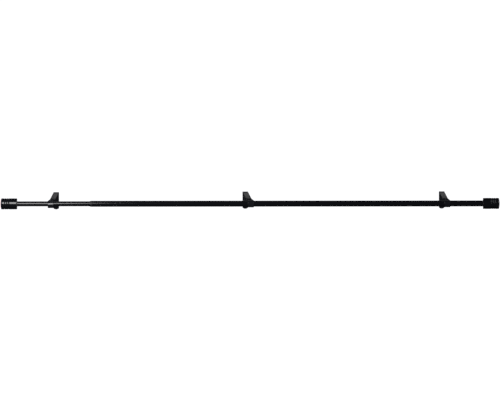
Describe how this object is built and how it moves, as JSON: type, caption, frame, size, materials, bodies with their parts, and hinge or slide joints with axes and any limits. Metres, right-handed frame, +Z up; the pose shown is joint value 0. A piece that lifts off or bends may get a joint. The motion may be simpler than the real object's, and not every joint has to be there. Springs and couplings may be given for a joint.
{
  "type": "extendable curtain rod",
  "caption": "Telescoping black steel curtain rod with grooved cylindrical finials, carried in closed collars by cranked wall brackets.",
  "frame": {"origin": "centre of the middle bracket's mounting plate, on the wall, midway between its two screw holes", "axes": "+X along the rod, from the narrow tube's finial to the wide tube's finial; +Y into the wall; +Z up"},
  "size_m": [1.5856, 0.1025, 0.0557],
  "materials": {
    "tube_enamel": "smooth gloss black enamel",
    "finial_enamel": "gloss black enamel",
    "casting_paint": "satin black powder coat",
    "black_nylon": "moulded, fine grain",
    "plated_steel": "bright zinc plating",
    "screw_steel": "black oxide"
  },
  "bodies": {
    "wall_anchor": {"middle_wall_plate": "plated_steel"},
    "middle_bracket": {"middle_bracket": "casting_paint"},
    "middle_lock_screw": {"middle_lock_screw": "screw_steel"},
    "middle_collar_screw": {"middle_collar_screw": "screw_steel"},
    "outer_rod": {"outer_tube": "tube_enamel", "tube_mouth_ring": "black_nylon"},
    "inner_rod": {"inner_tube": "tube_enamel", "inner_tube_guide": "black_nylon"},
    "left_finial": {"left_finial_sleeve": "finial_enamel", "left_finial_insert": "black_nylon", "left_finial_end_cap": "finial_enamel"},
    "left_bracket": {"left_bracket": "casting_paint"},
    "left_wall_plate": {"left_wall_plate": "plated_steel"},
    "left_lock_screw": {"left_lock_screw": "screw_steel"},
    "left_collar_screw": {"left_collar_screw": "screw_steel"},
    "right_finial": {"right_finial_sleeve": "finial_enamel", "right_finial_insert": "black_nylon", "right_finial_end_cap": "finial_enamel"},
    "right_bracket": {"right_bracket": "casting_paint"},
    "right_wall_plate": {"right_wall_plate": "plated_steel"},
    "right_lock_screw": {"right_lock_screw": "screw_steel"},
    "right_collar_screw": {"right_collar_screw": "screw_steel"}
  },
  "joints": [
    {"name": "middle_bracket_pull", "type": "slide", "parent": "wall_anchor", "child": "middle_bracket", "axis": [0, -1, 0], "range_m": [0, 0.02]},
    {"name": "rod_slide", "type": "slide", "parent": "middle_bracket", "child": "outer_rod", "axis": [1, 0, 0], "range_m": [-0.15, 0.15]},
    {"name": "inner_tube_slide", "type": "slide", "parent": "outer_rod", "child": "inner_rod", "axis": [-1, 0, 0], "range_m": [-0.085, 0.7]},
    {"name": "right_bracket_slide", "type": "slide", "parent": "outer_rod", "child": "right_bracket", "axis": [1, 0, 0], "range_m": [-0.25, 0.09]},
    {"name": "left_bracket_slide", "type": "slide", "parent": "inner_rod", "child": "left_bracket", "axis": [-1, 0, 0], "range_m": [-0.02, 0.085]},
    {"name": "right_finial_pull", "type": "slide", "parent": "outer_rod", "child": "right_finial", "axis": [1, 0, 0], "range_m": [0, 0.03]},
    {"name": "left_finial_pull", "type": "slide", "parent": "inner_rod", "child": "left_finial", "axis": [-1, 0, 0], "range_m": [0, 0.03]},
    {"name": "right_plate_pull", "type": "slide", "parent": "right_bracket", "child": "right_wall_plate", "axis": [0, 1, 0], "range_m": [0, 0.02]},
    {"name": "left_plate_pull", "type": "slide", "parent": "left_bracket", "child": "left_wall_plate", "axis": [0, 1, 0], "range_m": [0, 0.02]},
    {"name": "left_lock_screw_turn", "type": "hinge", "parent": "left_bracket", "child": "left_lock_screw", "pos_m": [-0.6007, -0.003, -0.027], "axis": [0, 0, -1], "range_deg": [0, 720]},
    {"name": "left_collar_screw_turn", "type": "hinge", "parent": "left_bracket", "child": "left_collar_screw", "pos_m": [-0.6185, -0.085, -0.0015], "axis": [0, 0.7071, -0.7071], "range_deg": [0, 720]},
    {"name": "middle_lock_screw_turn", "type": "hinge", "parent": "middle_bracket", "child": "middle_lock_screw", "pos_m": [0, -0.003, -0.0255], "axis": [0, 0, -1], "range_deg": [0, 720]},
    {"name": "middle_collar_screw_turn", "type": "hinge", "parent": "middle_bracket", "child": "middle_collar_screw", "pos_m": [0.0178, -0.085, 0], "axis": [0, 0.7071, -0.7071], "range_deg": [0, 720]},
    {"name": "right_lock_screw_turn", "type": "hinge", "parent": "right_bracket", "child": "right_lock_screw", "pos_m": [0.6239, -0.003, -0.0255], "axis": [0, 0, -1], "range_deg": [0, 720]},
    {"name": "right_collar_screw_turn", "type": "hinge", "parent": "right_bracket", "child": "right_collar_screw", "pos_m": [0.6417, -0.085, 0], "axis": [0, 0.7071, -0.7071], "range_deg": [0, 720]}
  ]
}
